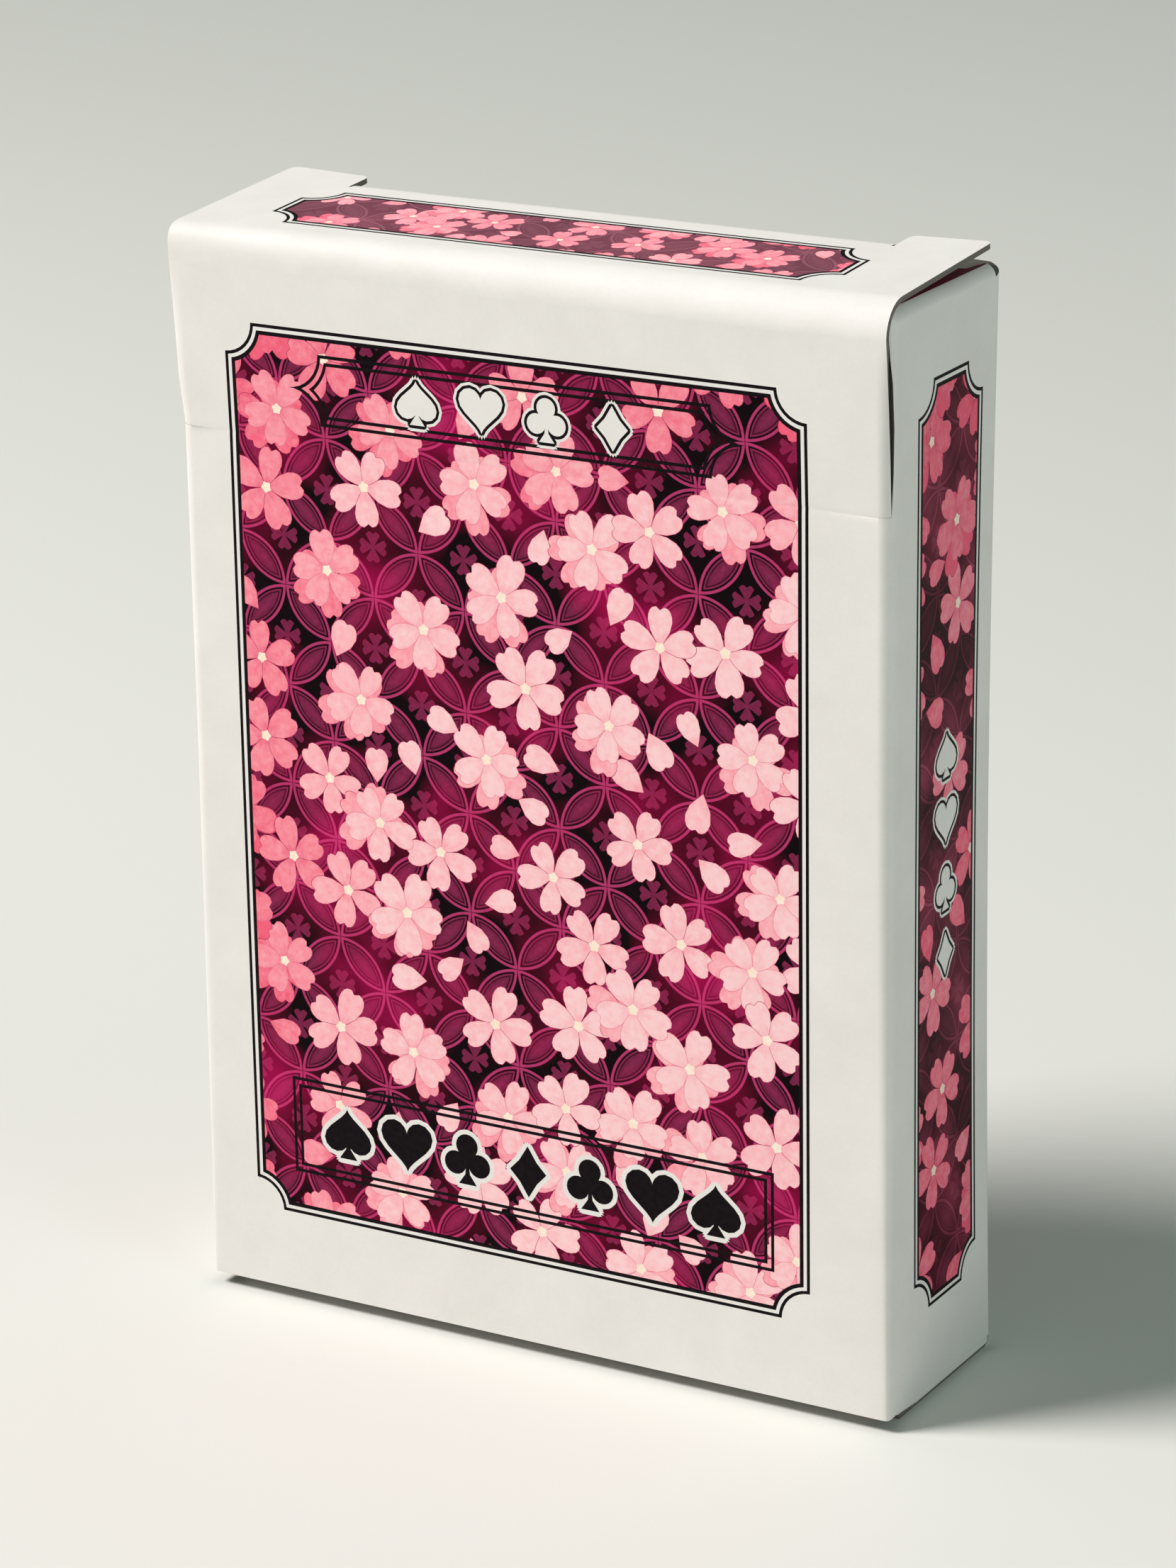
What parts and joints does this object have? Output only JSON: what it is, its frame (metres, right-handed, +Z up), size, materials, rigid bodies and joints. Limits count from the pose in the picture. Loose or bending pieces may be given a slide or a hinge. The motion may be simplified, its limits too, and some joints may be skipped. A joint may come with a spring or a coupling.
{
  "type": "playing card deck",
  "caption": "Upright folding-board card carton with a slit-lock tuck lid, dust flaps and a tucked bottom, holding a deck of rounded-corner playing cards.",
  "frame": {"origin": "middle of the carton's base, on the underside of the bottom lid", "axes": "+Z up along the carton's height, the front panel with the lid's crease faces -Y, +X to the right seen from the front"},
  "size_m": [0.0654, 0.0202, 0.0948],
  "materials": {
    "coated_board": "satin coated white board with printed panels",
    "printed_board": "satin coated board printed dark berry",
    "card_stock": "smooth coated card stock"
  },
  "bodies": {
    "carton": {"carton_sleeve": "coated_board"},
    "lid_strip": {"lid_hinge_strip": "coated_board"},
    "lid": {"lid_top": "coated_board"},
    "tuck_tab": {"lid_tuck_tab": "coated_board"},
    "left_dust_flap": {"dust_flap_left": "printed_board"},
    "right_dust_flap": {"dust_flap_right": "printed_board"},
    "bottom_closure": {"bottom_lid": "coated_board"},
    "bottom_tab": {"bottom_tuck_tab": "coated_board"},
    "deck": {"ace_of_spades": "card_stock", "two_of_spades": "card_stock", "three_of_spades": "card_stock", "four_of_spades": "card_stock", "five_of_spades": "card_stock", "six_of_spades": "card_stock", "seven_of_spades": "card_stock", "eight_of_spades": "card_stock", "nine_of_spades": "card_stock", "ten_of_spades": "card_stock", "jack_of_spades": "card_stock", "queen_of_spades": "card_stock", "king_of_spades": "card_stock", "ace_of_hearts": "card_stock", "two_of_hearts": "card_stock", "three_of_hearts": "card_stock", "four_of_hearts": "card_stock", "five_of_hearts": "card_stock", "six_of_hearts": "card_stock", "seven_of_hearts": "card_stock", "eight_of_hearts": "card_stock", "nine_of_hearts": "card_stock", "ten_of_hearts": "card_stock", "jack_of_hearts": "card_stock", "queen_of_hearts": "card_stock", "king_of_hearts": "card_stock", "ace_of_clubs": "card_stock", "two_of_clubs": "card_stock", "three_of_clubs": "card_stock", "four_of_clubs": "card_stock", "five_of_clubs": "card_stock", "six_of_clubs": "card_stock", "seven_of_clubs": "card_stock", "eight_of_clubs": "card_stock", "nine_of_clubs": "card_stock", "ten_of_clubs": "card_stock", "jack_of_clubs": "card_stock", "queen_of_clubs": "card_stock", "king_of_clubs": "card_stock", "ace_of_diamonds": "card_stock", "two_of_diamonds": "card_stock", "three_of_diamonds": "card_stock", "four_of_diamonds": "card_stock", "five_of_diamonds": "card_stock", "six_of_diamonds": "card_stock", "seven_of_diamonds": "card_stock", "eight_of_diamonds": "card_stock", "nine_of_diamonds": "card_stock", "ten_of_diamonds": "card_stock", "jack_of_diamonds": "card_stock", "queen_of_diamonds": "card_stock", "king_of_diamonds": "card_stock"}
  },
  "joints": [
    {"name": "deck_lift", "type": "slide", "parent": "carton", "child": "deck", "axis": [0, 0, 1], "range_m": [0, 0.011]},
    {"name": "lid_crease", "type": "hinge", "parent": "carton", "child": "lid_strip", "pos_m": [0, -0.00985, 0.0769], "axis": [1, 0, 0], "range_deg": [0, 110.1]},
    {"name": "lid_top_fold", "type": "hinge", "parent": "lid_strip", "child": "lid", "pos_m": [0, -0.01034, 0.09079], "axis": [1, 0, 0], "range_deg": [0, 83.7]},
    {"name": "tuck_tab_fold", "type": "hinge", "parent": "lid", "child": "tuck_tab", "pos_m": [0, 0.005, 0.09455], "axis": [1, 0, 0], "range_deg": [0, 34.2]},
    {"name": "left_dust_flap_fold", "type": "hinge", "parent": "carton", "child": "left_dust_flap", "pos_m": [-0.0327, 0, 0.0921], "axis": [0, -1, 0], "range_deg": [0, 105.7]},
    {"name": "right_dust_flap_fold", "type": "hinge", "parent": "carton", "child": "right_dust_flap", "pos_m": [0.0327, 0, 0.0921], "axis": [0, 1, 0], "range_deg": [0, 105.7]},
    {"name": "bottom_lid_crease", "type": "hinge", "parent": "carton", "child": "bottom_closure", "pos_m": [0, 0.00985, 0.00085], "axis": [1, 0, 0], "range_deg": [0, 80]},
    {"name": "bottom_tab_fold", "type": "hinge", "parent": "bottom_closure", "child": "bottom_tab", "pos_m": [0, -0.0081, 0.00045], "axis": [1, 0, 0], "range_deg": [-44.1, 0]}
  ],
  "couplings": [
    {"joint": "lid_crease", "follows": "deck_lift", "rad_per_m": 174.53},
    {"joint": "lid_top_fold", "follows": "deck_lift", "rad_per_m": 132.65},
    {"joint": "tuck_tab_fold", "follows": "deck_lift", "rad_per_m": 54.105},
    {"joint": "left_dust_flap_fold", "follows": "deck_lift", "rad_per_m": 167.55},
    {"joint": "right_dust_flap_fold", "follows": "deck_lift", "rad_per_m": 167.55},
    {"joint": "bottom_tab_fold", "follows": "bottom_lid_crease", "ratio": -0.55}
  ]
}
